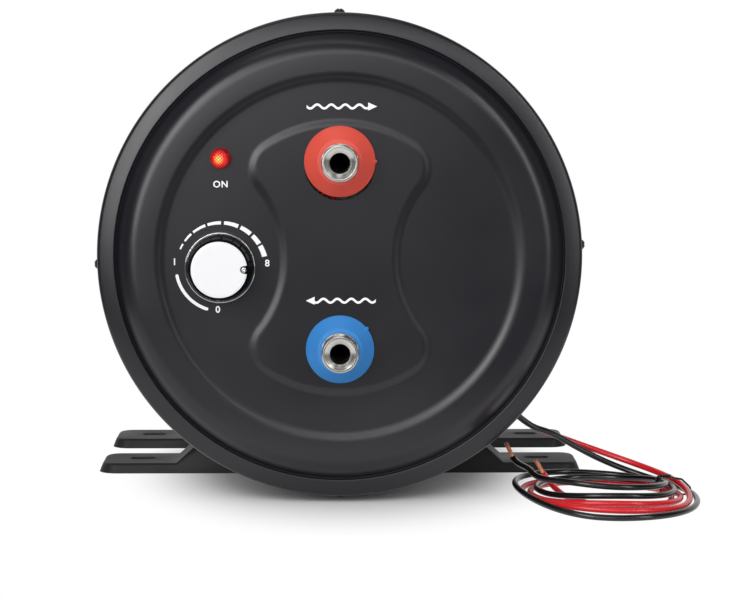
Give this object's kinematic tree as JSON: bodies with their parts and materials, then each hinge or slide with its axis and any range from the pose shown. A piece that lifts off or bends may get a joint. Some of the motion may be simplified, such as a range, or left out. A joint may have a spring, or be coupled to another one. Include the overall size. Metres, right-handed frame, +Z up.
{
  "type": "water heater",
  "caption": "Drum-shaped low-voltage water heater on pressed feet, with threaded hot and cold pipe stubs, thermostat knob, lamp and coiled supply leads.",
  "frame": {"origin": "on the floor under the middle of the object's box, leads left out", "axes": "+X to the right seen from the control panel, +Y from the panel to the rear cover, +Z up"},
  "size_m": [0.357, 0.4193, 0.2863],
  "materials": {
    "black_paint": "fine-textured satin powder coat",
    "black_screw": "satin, painted over",
    "black_rubber": "matt",
    "tank_steel": "rolled stainless sheet",
    "pipe_steel": "turned and threaded",
    "red_collar": "moulded, semi-gloss",
    "blue_collar": "moulded, semi-gloss",
    "foam": "cut rigid foam",
    "brass": "machined",
    "copper": "drawn",
    "black_moulding": "moulded",
    "plated_steel": "zinc plated",
    "knob_chrome": "plated, polished",
    "white_cap": "moulded, satin",
    "red_lens": "faceted lens, lit",
    "red_insulation": "soft satin",
    "black_insulation": "soft satin",
    "tie_plastic": "satin"
  },
  "bodies": {
    "heater": {"outer_shell": "black_paint", "front_cover": "black_paint", "rear_cover": "black_paint", "front_foot": "black_paint", "rear_foot": "black_paint", "front_cover_screws": "black_screw", "rear_cover_screws": "black_screw", "cable_grommet": "black_rubber", "heater_gasket": "black_rubber", "tank_barrel": "tank_steel", "tank_front_head": "tank_steel", "tank_rear_head": "tank_steel", "heater_boss": "tank_steel", "bulb_pocket": "tank_steel", "hot_dip_tube": "tank_steel", "cold_inlet_tube": "tank_steel", "hot_outlet_nipple": "pipe_steel", "cold_inlet_nipple": "pipe_steel", "hot_outlet_collar": "red_collar", "cold_inlet_collar": "blue_collar", "insulation_sleeve": "foam", "insulation_front": "foam", "insulation_rear": "foam", "heater_plug": "brass", "heater_terminals": "brass", "thermostat_terminals": "brass", "cutout_terminals": "brass", "heater_element": "copper", "thermostat_capillary": "copper", "thermostat_bulb": "copper", "red_bare_end": "copper", "black_bare_end": "copper", "thermostat_body": "black_moulding", "cutout_body": "black_moulding", "indicator_nut": "black_moulding", "indicator_body": "black_moulding", "thermostat_bracket": "plated_steel", "thermostat_screws": "plated_steel", "cutout_strap": "plated_steel", "cutout_nuts": "plated_steel", "indicator_pins": "plated_steel", "indicator_lens": "red_lens", "supply_red_lead": "red_insulation", "link_lead": "red_insulation", "lamp_live_lead": "red_insulation", "heater_lead": "red_insulation", "red_lead": "red_insulation", "red_coil": "red_insulation", "supply_black_lead": "black_insulation", "lamp_return_lead": "black_insulation", "black_lead": "black_insulation", "black_coil": "black_insulation", "coil_tie": "tie_plastic"},
    "knob": {"knob_body": "black_moulding", "knob_ring": "knob_chrome", "knob_cap": "white_cap", "knob_pointer": "knob_chrome", "thermostat_shaft": "plated_steel"}
  },
  "joints": [
    {"name": "knob_turn", "type": "hinge", "parent": "heater", "child": "knob", "pos_m": [-0.0685, -0.18, 0.1388], "axis": [0, -1, 0], "range_deg": [0, 265]}
  ]
}
